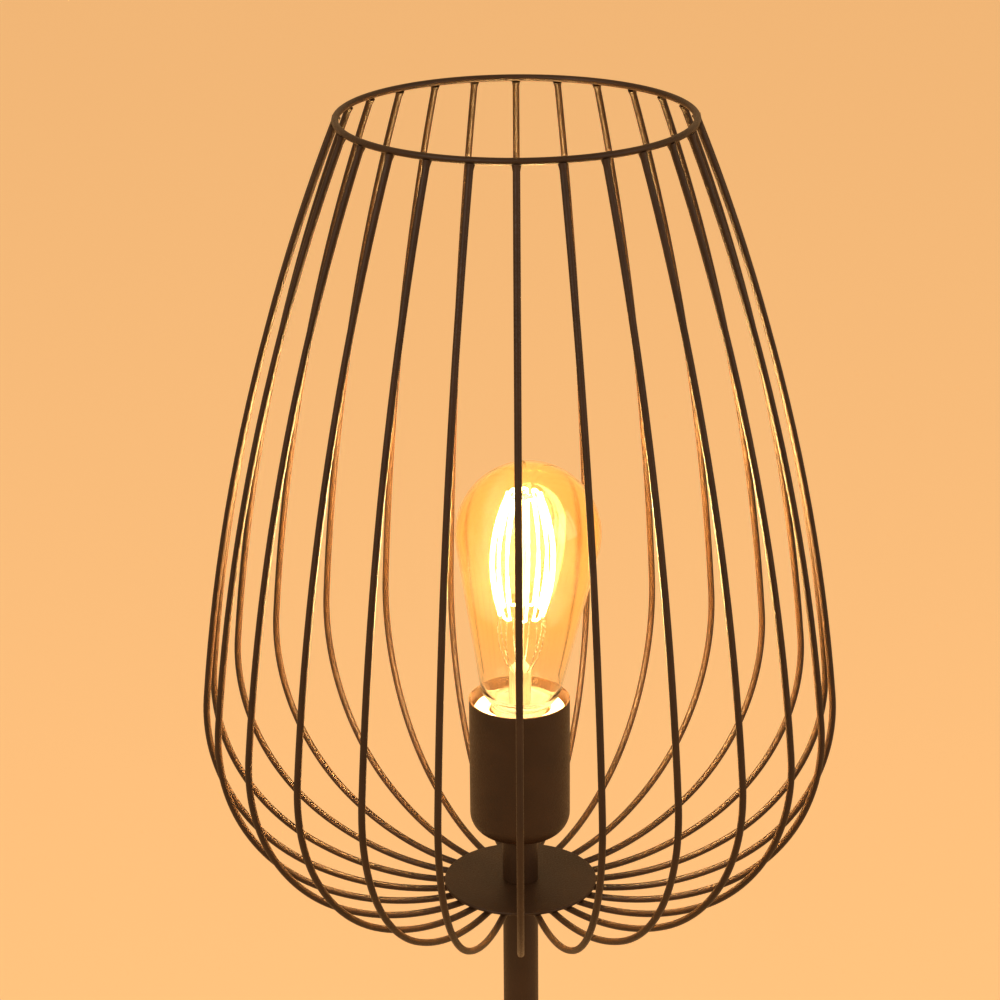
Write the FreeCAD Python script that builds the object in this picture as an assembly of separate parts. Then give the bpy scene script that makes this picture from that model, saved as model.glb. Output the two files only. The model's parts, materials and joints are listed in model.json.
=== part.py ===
"""Wire cage floor lamp: a weighted round base, a pole in three screwed sections, and a cage of
bent wires round a screw-in bulb in a metal cup.

Millimetres. The origin is on the floor, under the middle of the base. +Z is up, and the front of
the lamp faces -Y.
"""
import FreeCAD
import Part
import math
import os

from FreeCAD import Vector

# ---------------------------------------------------------------- driving sizes
overall_height = 1374.0          # floor to the top of the cage's ring

wire_diameter = 3.0
wire_count = 26
cage_diameter = 280.0            # over the wires, at the widest level
ring_diameter = 150.0            # centre line of the top ring
ring_height = 352.5              # centre line of the ring above the top of the disc
bottom_bend_radius = 120.0       # the wire's first bend, out of the disc
bottom_bend_angle = 30.0         # degrees turned in that bend
shoulder_lean = 5.5              # degrees past upright where the shoulder bend ends
wire_seat = 6.0                  # length of wire welded under the disc
wire_flats = 6                   # flats round the section of a wire, equal in area to the round
wire_sagitta = 0.5               # most that a straight run leaves the true bend

disc_diameter = 69.0
disc_thickness = 1.5
disc_bevel = 0.5

pole_diameter = 16.0
pole_wall = 1.2
pole_sections = ("pole_lower", "pole_middle", "pole_upper")

cup_diameter = 45.0
cup_wall = 0.8
cup_height = 65.5
cup_bottom_radius = 10.0
neck_length = 24.0               # from the disc to the cup

base_diameter = 250.0
base_height = 28.0               # floor to the flat top of the base
base_wall = 1.2
base_bevel = 3.0
foot_height = 3.0
foot_diameter = 18.0
foot_count = 4
foot_inset = 22.0                # from the base's edge to the middle of a foot

thread_diameter = 10.0           # hollow threaded rod through the whole lamp
thread_bore = 6.6
thread_gap = 0.1                 # radial play of a thread or a hole on the rod
hole_gap = 0.3                   # radial play of a plain hole round the rod
nut_flats = 14.0
nut_height = 4.0

weight_thickness = 14.0
weight_web = 6.0                 # iron left above the nut's pocket
pocket_diameter = 40.0
weight_play = 0.5                # between the weight and the wall of the cover
washer_diameter = 30.0
washer_thickness = 1.5
tooth_washer_diameter = 19.0
tooth_washer_thickness = 1.0
rod_end = 1.0                    # rod left showing past a nut

plate_thickness = 1.0
plate_play = 0.3
boss_diameter = 12.0
boss_count = 3
boss_inset = 30.0                # from the base's edge to the middle of a boss
screw_diameter = 4.0
screw_head_diameter = 8.0
screw_head_height = 1.6
screw_length = 7.0

bush_length = 15.0               # threaded bushes pressed into the pole's ends
press_gap = 0.05

lead_diameter = 5.2              # two-core lead inside the lamp
lead_height = 8.5                # middle of the inlet above the floor
lead_bend_radius = 7.0
core_diameter = 1.8
core_spacing = 2.6
core_straight = 3.0              # from each end of a core to its bend
core_bend_radius = 3.0
inlet_bore = 5.8
inlet_body_diameter = 8.4
inlet_flange_diameter = 10.0
inlet_flange = 1.5
inlet_tail = 5.0                 # bush left standing inside the wall

holder_base_height = 17.0
holder_base_diameter = 35.0
holder_foot_diameter = 24.0
holder_floor = 5.0
holder_slope = 5.0               # height of the sloped foot of the base
holder_wall = 2.0
holder_height = 40.0             # upper body of the holder
holder_play = 1.2                # between the holder and the cup
holder_web_rise = 4.0            # from the body's lower edge to the insulating web
holder_web = 4.0
holder_lip = 2.0

shell_diameter = 28.2            # threaded shell, outside
shell_wall = 0.5
shell_height = 30.0
shell_play = 0.2

contact_width = 6.0
contact_strip = 0.6
contact_foot_reach = 9.0         # from the middle of the holder to the foot of the contact
contact_ramp_reach = 4.0         # where the rising part meets the pad
contact_end_reach = 4.5

terminal_offset = 9.0
terminal_head_diameter = 5.5
terminal_head_height = 2.4
terminal_diameter = 3.0
terminal_reach = 2.5

# ---------------------------------------------------------------- bulb
bulb_length = 140.0              # from the end contact to the top of the glass
contact_rise = 5.9               # from the holder's web to the end contact, screwed home
bulb_diameter = 64.0
bulb_lean = 2.8                  # degrees that the glass leans to +X in its cap
bulb_pivot = 21.3                # height of the lean's pivot above the end contact
glass_wall = 0.8
neck_diameter = 35.8
neck_rise = 34.3                 # height above the end contact where the taper ends
seal_diameter = 23.4             # the glass inside the cap
seal_rise = 9.0
cap_diameter = 26.2
cap_wall = 0.5
cap_height = 27.0                # end contact to the upper edge of the cap
cap_start = 6.0                  # end contact to the lower edge of the cap
cap_turn_in = 2.0                # the cap's lower edge slopes in by this much
tip_diameter = 9.6
tip_height = 2.4
tip_flat_diameter = 5.8
insulator_lower_diameter = 11.6
stem_flare_diameter = 20.0
stem_diameter = 10.0
stem_rise = 49.0                 # end contact to the top of the stem's tube
stem_lean = 1.4                  # degrees that the stem and filament lean to +X
rod_diameter = 2.6
button_diameter = 4.4
button_height = 3.0
strand_count = 18                # the filament goes up and down this often
strand_diameter = 0.9
strand_foot = 71.0               # height of the filament's lower bends above the end contact
strand_clearance = 14.0          # from the filament's upper bends to the top of the glass
strand_foot_radius = 10.0
strand_top_radius = 7.5
strand_bulge = 5.0               # the strands bow out from the straight by this much
support_diameter = 0.7
support_bulge = 2.5
solder_gap = 0.1                 # between the filament and its supports
moving_gap = 0.3                 # between pieces that move past each other

# ---------------------------------------------------------------- levels and radii
front_azimuth = -90.0            # degrees from +X to the front
wire_radius = wire_diameter / 2.0
ring_radius = ring_diameter / 2.0
disc_top = overall_height - wire_radius - ring_height
disc_bottom = disc_top - disc_thickness
pole_radius = pole_diameter / 2.0
pole_bore_radius = pole_radius - pole_wall
rod_radius = thread_diameter / 2.0
rod_bore_radius = thread_bore / 2.0
rod_hole_radius = rod_radius + hole_gap
section_length = (disc_bottom - base_height) / len(pole_sections)

boss_reach = base_diameter / 2.0 - boss_inset
cover_inner_radius = base_diameter / 2.0 - base_wall
inlet_end = cover_inner_radius - inlet_tail
cover_ceiling = base_height - base_wall
plate_top = foot_height + plate_thickness
weight_bottom = cover_ceiling - weight_thickness
web_bottom = cover_ceiling - weight_web
washer_bottom = web_bottom - washer_thickness
tooth_washer_bottom = washer_bottom - tooth_washer_thickness
base_nut_bottom = tooth_washer_bottom - nut_height
base_rod_bottom = base_nut_bottom - rod_end

cup_bottom = disc_top + neck_length
cup_floor = cup_bottom + cup_wall
cup_rim = cup_bottom + cup_height
cup_inner_radius = cup_diameter / 2.0 - cup_wall
holder_bottom = cup_floor + nut_height
holder_joint = holder_bottom + holder_base_height
holder_radius = cup_inner_radius - holder_play
web_low = holder_joint + holder_web_rise
web_high = web_low + holder_web
head_rod_top = holder_bottom + holder_floor + rod_end

end_contact = web_high + contact_rise
cap_top = end_contact + cap_height
strand_height = bulb_length - strand_foot - strand_clearance
contact_top = end_contact - moving_gap


# ---------------------------------------------------------------- helpers
def tube(outer_radius, inner_radius, low, high):
    """A straight tube on the lamp's axis."""
    body = Part.makeCylinder(outer_radius, high - low, Vector(0, 0, low))
    bore = Part.makeCylinder(inner_radius, high - low, Vector(0, 0, low))
    return body.cut(bore)


def revolved(corners):
    """A solid of revolution from (radius, height) corners."""
    points = [Vector(radius, 0, height) for radius, height in corners]
    return revolved_edges(Part.makePolygon(points + points[:1]).Edges)


def revolved_edges(edges):
    """A solid of revolution from a closed chain of edges in the XZ plane."""
    face = Part.Face(Part.Wire(edges))
    return face.revolve(Vector(0, 0, 0), Vector(0, 0, 1), 360)


def turned(shape, degrees):
    """A copy turned about the lamp's axis."""
    copy = shape.copy()
    copy.rotate(Vector(0, 0, 0), Vector(0, 0, 1), degrees)
    return copy


def around(shape, count, start=0.0):
    """Copies spaced evenly about the lamp's axis."""
    return [turned(shape, start + 360.0 * index / count) for index in range(count)]


def leaned(shape, degrees):
    """The glass and the inside of the bulb lean to +X about a point in the cap."""
    pivot = Vector(0, 0, end_contact + bulb_pivot)
    shape.rotate(pivot, Vector(0, 1, 0), degrees)
    return shape


def polygon_radius(sides, round_radius):
    """Corner radius of the regular polygon that has the area of a circle."""
    return round_radius * math.sqrt(2 * math.pi / (sides * math.sin(2 * math.pi / sides)))


def hexagon(flats, low, high):
    """A hexagonal prism on the lamp's axis, given across its flats."""
    corner = flats / math.sqrt(3)
    angles = [math.radians(60 * index) for index in range(7)]
    points = [Vector(corner * math.cos(angle), corner * math.sin(angle), low) for angle in angles]
    return Part.Face(Part.makePolygon(points)).extrude(Vector(0, 0, high - low))


def line(start, end):
    return Part.LineSegment(start, end).toShape()


def arc(start, middle, end):
    return Part.Arc(start, middle, end).toShape()


def rounded_path(points, bend_radius):
    """Straight runs through the points, joined by tangent arcs."""
    edges = []
    start = points[0]
    for before, corner, after in zip(points, points[1:], points[2:]):
        inward = (before - corner).normalize()
        outward = (after - corner).normalize()
        half_angle = inward.getAngle(outward) / 2.0
        tangent = bend_radius / math.tan(half_angle)
        bisector = (inward + outward).normalize()
        centre = corner + bisector * (bend_radius / math.sin(half_angle))
        arc_start = corner + inward * tangent
        arc_end = corner + outward * tangent
        edges.append(line(start, arc_start))
        edges.append(arc(arc_start, centre - bisector * bend_radius, arc_end))
        start = arc_end
    edges.append(line(start, points[-1]))
    return Part.Wire(edges)


def round_bar(points, bend_radius, diameter):
    """A round bar or cable along a rounded path."""
    path = rounded_path(points, bend_radius)
    direction = points[1] - points[0]
    section = Part.Wire(Part.Circle(points[0], direction, diameter / 2.0).toShape())
    return path.makePipeShell([section], True, False)


# ---------------------------------------------------------------- cage
wire_corner = polygon_radius(wire_flats, wire_radius)
wire_apothem = wire_corner * math.cos(math.pi / wire_flats)


def bend_stations(point, heading, radius, angle):
    """Points and headings along a bend, close enough to keep to the true arc."""
    step = 2 * math.acos(1 - wire_sagitta / radius)
    steps = math.ceil(angle / step)
    centre_r = point[0] - radius * math.sin(heading)
    centre_z = point[1] + radius * math.cos(heading)
    stations = []
    for index in range(1, steps + 1):
        turn = heading + angle * index / steps
        stations.append((centre_r + radius * math.sin(turn), centre_z - radius * math.cos(turn), turn))
    return stations


def wire_stations():
    """The wire's centre line as (radius, height, heading), from under the disc to the ring.

    It leaves the disc flat, climbs through a wide bend and a tighter shoulder to the widest
    level, and closes in to the ring on one long shallow bend.
    """
    flat_level = disc_bottom - wire_apothem
    bend_start = disc_diameter / 2.0
    stations = [(bend_start - wire_seat, flat_level, 0.0), (bend_start, flat_level, 0.0)]

    first_turn = math.radians(bottom_bend_angle)
    stations += bend_stations(stations[-1][:2], 0.0, bottom_bend_radius, first_turn)

    widest = cage_diameter / 2.0 - wire_radius
    reach = widest - bend_start - bottom_bend_radius * math.sin(first_turn)
    shoulder_radius = reach / (1 - math.sin(first_turn))
    upright = math.pi / 2
    lean = math.radians(shoulder_lean)
    stations += bend_stations(stations[-1][:2], first_turn, shoulder_radius, upright - first_turn)
    stations += bend_stations(stations[-1][:2], upright, shoulder_radius, lean)

    side_r, side_z, heading = stations[-1]
    rise = disc_top + ring_height - side_z
    half_turn = math.atan2(side_r - ring_radius, rise) - lean
    side_radius = math.hypot(side_r - ring_radius, rise) / (2 * math.sin(half_turn))
    side_turn = 2 * half_turn - wire_apothem / side_radius
    stations += bend_stations((side_r, side_z), heading, side_radius, side_turn)
    return stations


def wire_section(radius, height, heading, corner):
    """A wire's outline square to its centre line, with a flat facing the lamp's axis."""
    points = []
    for index in range(wire_flats + 1):
        angle = 2 * math.pi * index / wire_flats
        across = corner * math.cos(angle)
        inward = corner * math.sin(angle)
        outer = radius - inward * math.sin(heading)
        points.append(Vector(outer, across, height + inward * math.cos(heading)))
    return Part.makePolygon(points)


def cage_wires():
    """All the wires, numbered from the front one round towards +X."""
    sections = [wire_section(*station, wire_corner) for station in wire_stations()]
    wire = Part.makeLoft(sections, True, True)
    return around(wire, wire_count, front_azimuth)


def cage_ring():
    """The top ring, turned so that a flat of its section meets the ends of the wires."""
    wire_heading = wire_stations()[-1][2]
    ring_level = disc_top + ring_height
    corners = []
    for index in range(wire_flats):
        angle = wire_heading + math.pi * (2 * index + 1) / wire_flats
        radius = ring_radius + wire_corner * math.cos(angle)
        corners.append((radius, ring_level + wire_corner * math.sin(angle)))
    return revolved(corners)


def cage_disc():
    """The disc that carries the wires, with its rim eased on both faces."""
    edge = disc_diameter / 2.0
    return revolved([
        (rod_hole_radius, disc_bottom),
        (edge - disc_bevel, disc_bottom),
        (edge, disc_bottom + disc_bevel),
        (edge, disc_top - disc_bevel),
        (edge - disc_bevel, disc_top),
        (rod_hole_radius, disc_top),
    ])


# ---------------------------------------------------------------- base
def base_cover():
    """Pressed steel cover, open below, with holes for the rod and the cable inlet."""
    edge = base_diameter / 2.0
    inner_bevel = base_bevel - base_wall * (2 - math.sqrt(2))     # keeps the wall even at the bevel
    cover = revolved([
        (edge, foot_height),
        (edge, base_height - base_bevel),
        (edge - base_bevel, base_height),
        (rod_hole_radius, base_height),
        (rod_hole_radius, cover_ceiling),
        (cover_inner_radius - inner_bevel, cover_ceiling),
        (cover_inner_radius, cover_ceiling - inner_bevel),
        (cover_inner_radius, foot_height),
    ])
    start = Vector(0, inlet_end, lead_height)
    depth = inlet_tail + base_wall + inlet_flange
    inlet_hole = Part.makeCylinder(inlet_body_diameter / 2.0 + press_gap, depth, start, Vector(0, 1, 0))
    return cover.cut(inlet_hole)


def base_weight():
    """Cast weight with a pocket for the nut and bosses that carry the bottom plate.

    One boss points to the front, so the inlet at the rear stays clear.
    """
    edge = cover_inner_radius - weight_play
    weight = revolved([
        (rod_hole_radius, web_bottom),
        (pocket_diameter / 2.0, web_bottom),
        (pocket_diameter / 2.0, weight_bottom),
        (edge, weight_bottom),
        (edge, cover_ceiling - base_bevel),
        (edge - base_bevel, cover_ceiling),
        (rod_hole_radius, cover_ceiling),
    ])
    foot = Vector(boss_reach, 0, plate_top)
    boss = Part.makeCylinder(boss_diameter / 2.0, weight_bottom - plate_top, foot)
    hole = Part.makeCylinder(screw_diameter / 2.0 + thread_gap, screw_length, foot)
    weight = weight.fuse(around(boss, boss_count, front_azimuth))
    return weight.cut(Part.makeCompound(around(hole, boss_count, front_azimuth)))


def base_bottom_plate():
    """Steel plate that closes the base from below."""
    edge = cover_inner_radius - plate_play
    plate = Part.makeCylinder(edge, plate_thickness, Vector(0, 0, foot_height))
    hole_radius = screw_diameter / 2.0 + hole_gap
    hole = Part.makeCylinder(hole_radius, plate_thickness, Vector(boss_reach, 0, foot_height))
    return plate.cut(Part.makeCompound(around(hole, boss_count, front_azimuth)))


def bottom_plate_screws():
    """Screws through the plate into the weight's bosses."""
    head_foot = Vector(boss_reach, 0, foot_height - screw_head_height)
    shank_foot = Vector(boss_reach, 0, foot_height)
    head = Part.makeCylinder(screw_head_diameter / 2.0, screw_head_height, head_foot)
    shank = Part.makeCylinder(screw_diameter / 2.0, screw_length, shank_foot)
    return Part.makeCompound(around(head.fuse(shank).removeSplitter(), boss_count, front_azimuth))


def rubber_feet():
    """Rubber pads glued under the plate, between the screws."""
    reach = base_diameter / 2.0 - foot_inset
    foot = Part.makeCylinder(foot_diameter / 2.0, foot_height, Vector(reach, 0, 0))
    return Part.makeCompound(around(foot, foot_count, 180.0 / foot_count))


def base_rod():
    """Hollow threaded rod that ties the base to the lowest section of the pole."""
    return tube(rod_radius, rod_bore_radius, base_rod_bottom, base_height + bush_length - rod_end)


def base_nut():
    nut = hexagon(nut_flats, base_nut_bottom, tooth_washer_bottom)
    bore = Part.makeCylinder(rod_radius + thread_gap, nut_height, Vector(0, 0, base_nut_bottom))
    return nut.cut(bore)


def base_washers():
    """Plain washer against the iron, and a lock washer against the nut."""
    plain = tube(washer_diameter / 2.0, rod_hole_radius, washer_bottom, web_bottom)
    lock = tube(tooth_washer_diameter / 2.0, rod_hole_radius, tooth_washer_bottom, washer_bottom)
    return Part.makeCompound([plain, lock])


def cable_bush():
    """Bush in the rear wall of the base, where the supply cable enters."""
    wall_outside = base_diameter / 2.0
    length = wall_outside + inlet_flange - inlet_end
    rear = Vector(0, 1, 0)
    start = Vector(0, inlet_end, lead_height)
    flange_start = Vector(0, wall_outside, lead_height)
    flange = Part.makeCylinder(inlet_flange_diameter / 2.0, inlet_flange, flange_start, rear)
    body = Part.makeCylinder(inlet_body_diameter / 2.0, length, start, rear)
    bore = Part.makeCylinder(inlet_bore / 2.0, length, start, rear)
    return flange.fuse(body).removeSplitter().cut(bore)


# ---------------------------------------------------------------- pole
def pole_joints():
    """Heights of the ends of the pole's sections, from the base to the disc."""
    return [base_height + section_length * index for index in range(len(pole_sections) + 1)]


def pole_tube(low):
    return tube(pole_radius, pole_bore_radius, low, low + section_length)


def pole_end_bushes():
    """Threaded bushes pressed into both ends of every section."""
    outer_radius = pole_bore_radius - press_gap
    inner_radius = rod_radius + thread_gap
    bushes = []
    for low in pole_joints()[:-1]:
        high = low + section_length
        bushes.append(tube(outer_radius, inner_radius, low, low + bush_length))
        bushes.append(tube(outer_radius, inner_radius, high - bush_length, high))
    return Part.makeCompound(bushes)


def pole_studs():
    """Hollow threaded studs that join one section to the next."""
    reach = bush_length - rod_end
    studs = []
    for joint in pole_joints()[1:-1]:
        studs.append(tube(rod_radius, rod_bore_radius, joint - reach, joint + reach))
    return Part.makeCompound(studs)


def neck_tube():
    """Short length of the pole's tube between the disc and the cup."""
    return tube(pole_radius, pole_bore_radius, disc_top, cup_bottom)


def head_rod():
    """Hollow threaded rod from the top of the pole, through disc and cup, into the holder."""
    return tube(rod_radius, rod_bore_radius, disc_bottom - bush_length + rod_end, head_rod_top)


# ---------------------------------------------------------------- lamp holder
def rounded_can(radius, low, high, bend):
    """A cylinder on the axis with its lower edge rounded."""
    can = Part.makeCylinder(radius, high - low, Vector(0, 0, low))
    lower_edge = [edge for edge in can.Edges if edge.BoundBox.ZMax < (low + high) / 2.0]
    return can.makeFillet(bend, lower_edge)


def holder_cup():
    """Drawn metal cup of even wall with a rounded bottom, open above."""
    outside = rounded_can(cup_diameter / 2.0, cup_bottom, cup_rim, cup_bottom_radius)
    inside = rounded_can(cup_inner_radius, cup_floor, cup_rim, cup_bottom_radius - cup_wall)
    hole = Part.makeCylinder(rod_hole_radius, cup_wall, Vector(0, 0, cup_bottom))
    return outside.cut(inside).cut(hole)


def cup_nut():
    """Nut that clamps cup, neck tube and disc on the rod."""
    nut = hexagon(nut_flats, cup_floor, holder_bottom)
    bore = Part.makeCylinder(rod_radius + thread_gap, nut_height, Vector(0, 0, cup_floor))
    return nut.cut(bore)


def holder_base():
    """Lower half of the holder: a dish with the wiring space, screwed on the rod."""
    outer = holder_base_diameter / 2.0
    foot = holder_foot_diameter / 2.0
    bore = rod_radius + thread_gap
    floor_top = holder_bottom + holder_floor
    return revolved([
        (bore, holder_bottom),
        (foot, holder_bottom),
        (outer, holder_bottom + holder_slope),
        (outer, holder_joint),
        (outer - holder_wall, holder_joint),
        (outer - holder_wall, floor_top + holder_slope),
        (foot - holder_wall, floor_top),
        (bore, floor_top),
    ])


def holder_body():
    """Upper half of the holder: a sleeve round the threaded shell, with an insulating web."""
    pocket = shell_diameter / 2.0 + shell_play
    rim = holder_joint + holder_height
    body = revolved([
        (0, web_low),
        (holder_base_diameter / 2.0 - holder_wall, web_low),
        (holder_base_diameter / 2.0 - holder_wall, holder_joint),
        (holder_radius, holder_joint),
        (holder_radius, rim - holder_lip),
        (holder_radius - holder_lip, rim),
        (pocket, rim),
        (pocket, web_high),
        (0, web_high),
    ])
    hole_radius = terminal_diameter / 2.0 + thread_gap
    hole = Part.makeCylinder(hole_radius, terminal_reach, Vector(0, terminal_offset, web_low))
    return body.cut(Part.makeCompound(around(hole, 2)))


def screw_shell():
    """Threaded metal shell that takes the bulb's cap."""
    outer = shell_diameter / 2.0
    return tube(outer, outer - shell_wall, web_high, web_high + shell_height)


def centre_contact():
    """Sprung contact tongue: it rises from a foot on the web to a pad under the bulb."""
    foot_level = web_high + moving_gap
    pad_level = contact_top - contact_strip
    points = [
        Vector(-contact_foot_reach, 0, foot_level),
        Vector(-contact_foot_reach + contact_strip, 0, foot_level),
        Vector(-contact_ramp_reach + contact_strip, 0, pad_level),
        Vector(contact_end_reach, 0, pad_level),
        Vector(contact_end_reach, 0, contact_top),
        Vector(-contact_ramp_reach, 0, contact_top),
        Vector(-contact_foot_reach, 0, foot_level + contact_strip),
    ]
    tongue = Part.Face(Part.makePolygon(points + points[:1])).extrude(Vector(0, contact_width, 0))
    tongue.translate(Vector(0, -contact_width / 2.0, 0))
    return tongue


def terminal_screws():
    """Cheese-head screws under the web, which clamp the two cores."""
    head_foot = Vector(0, terminal_offset, web_low - terminal_head_height)
    shank_foot = Vector(0, terminal_offset, web_low)
    head = Part.makeCylinder(terminal_head_diameter / 2.0, terminal_head_height, head_foot)
    shank = Part.makeCylinder(terminal_diameter / 2.0, terminal_reach, shank_foot)
    return Part.makeCompound(around(head.fuse(shank).removeSplitter(), 2))


def lead_sheath():
    """Sheathed lead from the inlet, under the weight and up the pole, to the holder."""
    start = Vector(0, inlet_end - moving_gap, lead_height)
    corner = Vector(0, 0, lead_height)
    end = Vector(0, 0, head_rod_top)
    return round_bar([start, corner, end], lead_bend_radius, lead_diameter)


def lead_cores():
    """The two insulated cores, bent out from the sheath to the terminal screws."""
    side = core_spacing / 2.0
    low = head_rod_top
    high = web_low - terminal_head_height - press_gap
    points = [
        Vector(0, side, low),
        Vector(0, side, low + core_straight),
        Vector(0, terminal_offset, high - core_straight),
        Vector(0, terminal_offset, high),
    ]
    core = round_bar(points, core_bend_radius, core_diameter)
    return Part.makeCompound(around(core, 2))


# ---------------------------------------------------------------- bulb
def glass_outline(wall):
    """Top, dome middle, dome end and neck of the glass in the XZ plane, drawn in by a wall.

    A straight taper runs from the neck and meets the round dome on a tangent.
    """
    radius = bulb_diameter / 2.0 - wall
    centre_z = end_contact + bulb_length - bulb_diameter / 2.0
    neck = Vector(neck_diameter / 2.0 - wall, 0, end_contact + neck_rise)
    rise = centre_z - neck.z
    taper = math.asin(radius / math.hypot(neck.x, rise)) - math.atan2(neck.x, rise)
    middle = (math.pi / 2 - taper) / 2.0
    dome_middle = Vector(radius * math.cos(middle), 0, centre_z + radius * math.sin(middle))
    dome_end = Vector(radius * math.cos(taper), 0, centre_z - radius * math.sin(taper))
    return Vector(0, 0, centre_z + radius), dome_middle, dome_end, neck


def turn_to(start, along, end):
    """An arc that leaves start along a direction and ends at a point, all in the XZ plane."""
    normal = Vector(along.z, 0, -along.x).normalize()
    chord = end - start
    radius = chord.Length ** 2 / (2 * normal.dot(chord))
    centre = start + normal * radius
    half_way = (start - centre) + (end - centre)
    return arc(start, centre + half_way.normalize() * abs(radius), end)


def bulb_glass():
    """Tinted glass envelope. Its neck turns in over the cap, and a narrow seal stands in it."""
    top, dome_middle, dome_end, neck = glass_outline(0.0)
    inner_top, inner_dome_middle, inner_dome_end, inner_neck = glass_outline(glass_wall)
    seal = seal_diameter / 2.0
    bore = seal - glass_wall
    foot = end_contact + seal_rise
    cap_radius = cap_diameter / 2.0
    lean_drop = cap_radius * math.sin(math.radians(bulb_lean))
    shoulder = Vector(cap_radius, 0, cap_top + lean_drop + moving_gap)
    edges = [
        arc(top, dome_middle, dome_end),
        line(dome_end, neck),
        turn_to(neck, neck - dome_end, shoulder),
        line(shoulder, Vector(seal, 0, shoulder.z)),
        line(Vector(seal, 0, shoulder.z), Vector(seal, 0, foot)),
        line(Vector(seal, 0, foot), Vector(bore, 0, foot)),
        line(Vector(bore, 0, foot), Vector(bore, 0, shoulder.z + glass_wall)),
        line(Vector(bore, 0, shoulder.z + glass_wall), inner_neck),
        line(inner_neck, inner_dome_end),
        arc(inner_dome_end, inner_dome_middle, inner_top),
        line(inner_top, top),
    ]
    return leaned(revolved_edges(edges), bulb_lean)


def bulb_cap():
    """Screw cap, its lower edge turned in on the insulator."""
    outer = cap_diameter / 2.0
    low = end_contact + cap_start
    narrow = outer - cap_turn_in
    return revolved([
        (narrow, low),
        (outer, low + cap_turn_in),
        (outer, cap_top),
        (outer - cap_wall, cap_top),
        (outer - cap_wall, low + cap_turn_in + cap_wall / 2.0),
        (narrow - cap_wall, low + cap_wall),
    ])


def bulb_insulator():
    """Black glass cone between the cap and the end contact."""
    upper = cap_diameter / 2.0 - cap_turn_in - cap_wall - press_gap
    return revolved([
        (0, end_contact + tip_height),
        (insulator_lower_diameter / 2.0, end_contact + tip_height),
        (upper, end_contact + cap_start),
        (upper, end_contact + cap_start + cap_wall),
        (0, end_contact + cap_start + cap_wall),
    ])


def bulb_tip_contact():
    """End contact in the middle of the insulator."""
    radius = tip_diameter / 2.0
    return revolved([
        (0, end_contact),
        (tip_flat_diameter / 2.0, end_contact),
        (radius, end_contact + tip_height / 2.0),
        (radius, end_contact + tip_height),
        (0, end_contact + tip_height),
    ])


def bowed_wire(foot, top, bulge, diameter):
    """A thin wire that bows outwards from (radius, height) foot to top, in the XZ plane."""
    across = top[0] - foot[0]
    up = top[1] - foot[1]
    half_chord = math.hypot(across, up) / 2.0
    bow_radius = (half_chord ** 2 + bulge ** 2) / (2 * bulge)
    half_turn = math.asin(half_chord / bow_radius)
    heading = math.atan2(up, across) - half_turn
    stations = [(*foot, heading)] + bend_stations(foot, heading, bow_radius, 2 * half_turn)
    corner = polygon_radius(wire_flats, diameter / 2.0)
    sections = [wire_section(*station, corner) for station in stations]
    return Part.makeLoft(sections, True, True)


def straight_wire(start, end, diameter):
    """A thin straight wire with its ends square."""
    corner = polygon_radius(wire_flats, diameter / 2.0)
    section = Part.makePolygon([
        Vector(
            corner * math.cos(2 * math.pi * index / wire_flats),
            corner * math.sin(2 * math.pi * index / wire_flats),
            0,
        )
        for index in range(wire_flats + 1)
    ])
    wire = Part.Face(section).extrude(Vector(0, 0, (end - start).Length))
    wire.Placement = FreeCAD.Placement(start, FreeCAD.Rotation(Vector(0, 0, 1), end - start))
    return wire


def bulb_stem():
    """Glass stem: a flared foot, a tube, and a rod with a button up the filament's middle."""
    foot = end_contact + seal_rise
    flare = stem_flare_diameter / 2.0
    neck = stem_diameter / 2.0
    rod = rod_diameter / 2.0
    button = button_diameter / 2.0
    stem_top = end_contact + stem_rise
    button_top = end_contact + strand_foot + strand_height
    button_bottom = button_top - button_height
    return leaned(revolved([
        (0, foot),
        (flare, foot),
        (flare, foot + glass_wall),
        (neck, foot + flare),
        (neck, stem_top - neck),
        (rod, stem_top),
        (rod, button_bottom),
        (button, button_bottom),
        (button, button_top),
        (0, button_top),
    ]), stem_lean)


def bulb_filament():
    """One filament that goes up and down between its supports, as a barrel of strands."""
    low = end_contact + strand_foot
    high = low + strand_height
    foot = (strand_foot_radius, low)
    top = (strand_top_radius, high)
    strand = bowed_wire(foot, top, strand_bulge, strand_diameter)
    spacing = 360.0 / strand_count
    pieces = around(strand, strand_count)
    for index in range(strand_count - 1):
        radius, level = foot if index % 2 else top
        start = turned(Part.Vertex(radius, 0, level), spacing * index).Point
        end = turned(Part.Vertex(radius, 0, level), spacing * (index + 1)).Point
        overlap = (end - start).normalize() * (strand_diameter / 2.0)
        pieces.append(straight_wire(start - overlap, end + overlap, strand_diameter))
    return leaned(pieces[0].fuse(pieces[1:]), stem_lean)


def filament_supports():
    """Wires from the stem to the filament's lower bends and ends, and from the button to its upper bends."""
    hold = (strand_diameter + support_diameter) / 2.0 + solder_gap
    spacing = 360.0 / strand_count
    low = end_contact + strand_foot
    start = (stem_diameter / 2.0 + support_diameter / 2.0, end_contact + stem_rise - stem_diameter / 2.0)
    lower = bowed_wire(start, (strand_foot_radius, low - hold), support_bulge, support_diameter)
    wires = [lower, turned(lower, -spacing)]
    for index in range(1, strand_count - 1, 2):
        wires.append(turned(lower, spacing * (index + 0.5)))
    level = low + strand_height - hold
    upper = straight_wire(
        Vector(button_diameter / 2.0, 0, level),
        Vector(strand_top_radius + strand_diameter, 0, level),
        support_diameter,
    )
    for index in range(0, strand_count, 2):
        wires.append(turned(upper, spacing * (index + 0.5)))
    return leaned(Part.makeCompound(wires), stem_lean)


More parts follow.
